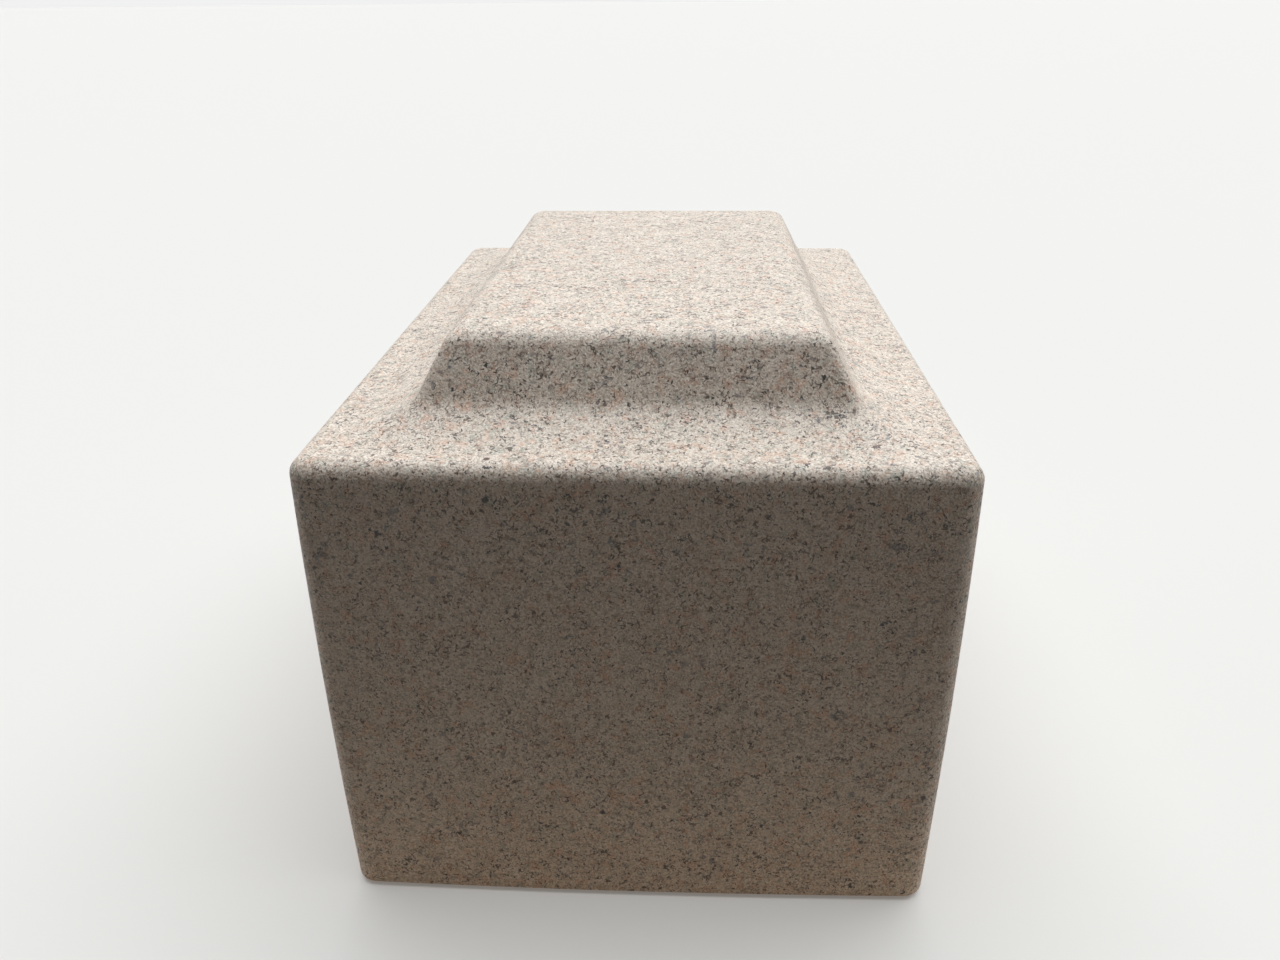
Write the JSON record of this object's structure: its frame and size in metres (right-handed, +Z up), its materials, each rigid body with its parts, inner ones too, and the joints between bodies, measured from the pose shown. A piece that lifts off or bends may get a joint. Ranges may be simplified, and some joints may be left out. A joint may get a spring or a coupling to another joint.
{
  "type": "cremation urn",
  "caption": "Rectangular cast-granite cremation urn with a coved plateau on top, a hollow chamber, and a screw plug in its sealed base plate.",
  "frame": {"origin": "centre of the footprint, on the surface that the urn stands on", "axes": "+Z up, +Y along the longer side away from the front end, -Y is the end that faces the viewer, +X to that viewer's right"},
  "size_m": [0.165, 0.235, 0.155],
  "materials": {
    "cast_granite": "satin-matt granite-chip resin casting, as moulded",
    "cast_base": "sanded resin casting",
    "sealant": "tooled silicone bead",
    "collar_polymer": "moulded, fine spark texture",
    "plug_polymer": "moulded, fine spark texture",
    "gasket_rubber": "die-cut sheet",
    "pad_rubber": "matt, lightly napped"
  },
  "bodies": {
    "urn": {"urn_shell": "cast_granite", "base_plate": "cast_base", "seam_sealant": "sealant", "thread_collar": "collar_polymer", "foot_pad_front_left": "pad_rubber", "foot_pad_front_right": "pad_rubber", "foot_pad_back_left": "pad_rubber", "foot_pad_back_right": "pad_rubber"},
    "gasket": {"plug_gasket": "gasket_rubber"},
    "plug": {"screw_plug": "plug_polymer"}
  },
  "joints": [
    {"name": "plug_travel", "type": "slide", "parent": "urn", "child": "gasket", "axis": [0, 0, -1], "range_m": [0, 0.01]},
    {"name": "plug_turn", "type": "hinge", "parent": "gasket", "child": "plug", "pos_m": [0, 0, 0], "axis": [0, 0, -1], "range_deg": [0, 900]}
  ],
  "couplings": [
    {"joint": "plug_travel", "follows": "plug_turn", "m_per_rad": 0.00063662}
  ]
}
